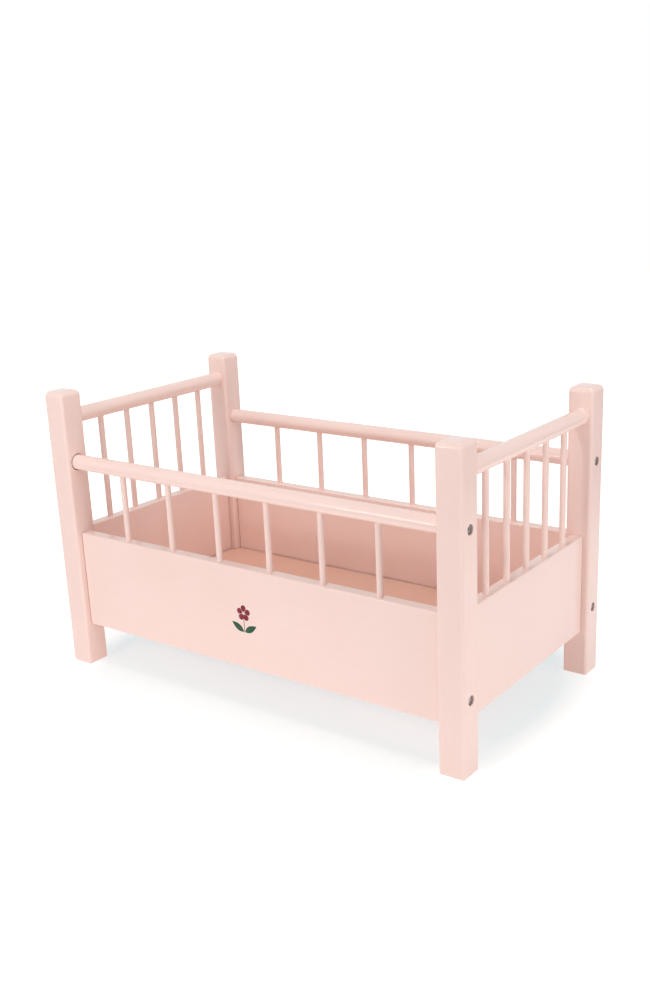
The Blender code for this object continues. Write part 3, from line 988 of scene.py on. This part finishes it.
front_face = node_box("side_panel_front")[0].y
blossom = Vector((motif_x, blossom_z))
petals = []
streaks = []
for number in range(petal_count):
    heading = math.pi / 2 + 2 * math.pi * number / petal_count
    root = blossom + petal_root * towards_angle(heading)
    petals.append(petal_outline(root, heading, petal_length, petal_width, petal_fullness, petal_roundness))
    streaks.append(petal_outline(root, heading, streak_length, streak_width))
scallop = []
scallop_steps = petal_count * outline_steps
blossom_radius = petal_root + petal_length + backing_margin
for step in range(scallop_steps):
    angle = 2 * math.pi * step / scallop_steps
    petal_share = abs(math.cos(petal_count * (angle - math.pi / 2) / 2))
    reach = blossom_radius * (1 - scallop_share + scallop_share * petal_share ** scallop_roundness)
    scallop.append(blossom + reach * towards_angle(angle))
leaves = []
leaf_backings = []
veins = []
for side in (-1, 1):
    heading = math.pi / 2 - side * (math.pi / 2 - leaf_rise)
    root = Vector((motif_x + side * leaf_root_x, stem_foot_z + leaf_root_x))
    backing_length = leaf_length + leaf_tip_margin
    backing_width = leaf_width + 2 * backing_margin
    leaves.append(petal_outline(root, heading, leaf_length, leaf_width, leaf_fullness, leaf_roundness))
    leaf_backings.append(
        petal_outline(root, heading, backing_length, backing_width, leaf_fullness, leaf_roundness)
    )
    veins.append(petal_outline(root, heading, leaf_length * vein_share, vein_width, vein_fullness))
stem_top = blossom_z - petal_root
stem = [
    Vector((motif_x - stem_width / 2, stem_foot_z)),
    Vector((motif_x + stem_width / 2, stem_foot_z)),
    Vector((motif_x + stem_top_width / 2, stem_top)),
    Vector((motif_x - stem_top_width / 2, stem_top)),
]
eye = []
for step in range(outline_steps):
    angle = 2 * math.pi * step / outline_steps
    eye.append(blossom + eye_radius * towards_angle(angle))

ink_film("motif_backing", [scallop, *leaf_backings], backing_thickness, ink("backing_film", *backing_tones))
ink_film("motif_stem", [stem], ink_thickness, ink("stem_ink", *stem_tones))
ink_film("motif_leaves", leaves, ink_thickness, ink("leaf_ink", *leaf_tones))
ink_film("motif_veins", veins, top_ink_thickness, ink("vein_ink", *vein_tones))
ink_film("motif_petals", petals, ink_thickness, ink("petal_ink", *petal_tones))
ink_film("motif_streaks", streaks, top_ink_thickness, ink("streak_ink", *streak_tones))
ink_film("motif_eye", [eye], top_ink_thickness, ink("eye_ink", *eye_tones))


# Threaded inserts and dowels
# Brass inserts screwed into the ends of the rails and panels, and plain beech dowels that keep each panel
# from turning on its bolt. Their shapes are right as they are, so they only get their finish here.
brass_tones = ((0.52, 0.34, 0.12), (0.80, 0.59, 0.27))
brass_gloss = (0.25, 0.45)
brass_relief_depth = 0.00002
beech_tones = ((0.50, 0.32, 0.18), (0.72, 0.52, 0.34))
beech_stretch = (0.12, 1.0, 1.0)
beech_roughness = 0.65
beech_relief_depth = 0.00006


def turned_brass():
    """Bare brass, a little uneven from turning."""
    material, tree, shader = new_finish("bare_brass")
    shader.inputs["Metallic"].default_value = 1.0
    lines = speckle(tree, object_place(tree), scale=600.0, detail=4.0)
    tint = two_tones(tree, lines, *brass_tones, start=0.3, end=0.7)
    tree.links.new(tint, shader.inputs["Base Color"])
    tree.links.new(eased(tree, lines, *brass_gloss), shader.inputs["Roughness"])
    tree.links.new(relief(tree, lines, brass_relief_depth, strength=0.5), shader.inputs["Normal"])
    return material


def beech_dowel():
    """Bare beech with short flecks along the grain, which runs along X."""
    material, tree, shader = new_finish("bare_beech")
    along = stretched(tree, object_place(tree), beech_stretch)
    fleck = speckle(tree, along, scale=900.0, detail=5.0)
    tint = two_tones(tree, fleck, *beech_tones, start=0.3, end=0.65)
    tree.links.new(tint, shader.inputs["Base Color"])
    shader.inputs["Roughness"].default_value = beech_roughness
    tree.links.new(relief(tree, fleck, beech_relief_depth, strength=0.6), shader.inputs["Normal"])
    return material


fitting_finishes = {"insert": turned_brass(), "dowel": beech_dowel()}
for node_name, node_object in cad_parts.items():
    fitting = node_name.split("_")[0]
    if fitting in fitting_finishes:
        for material_slot in node_object.material_slots:
            material_slot.material = fitting_finishes[fitting]
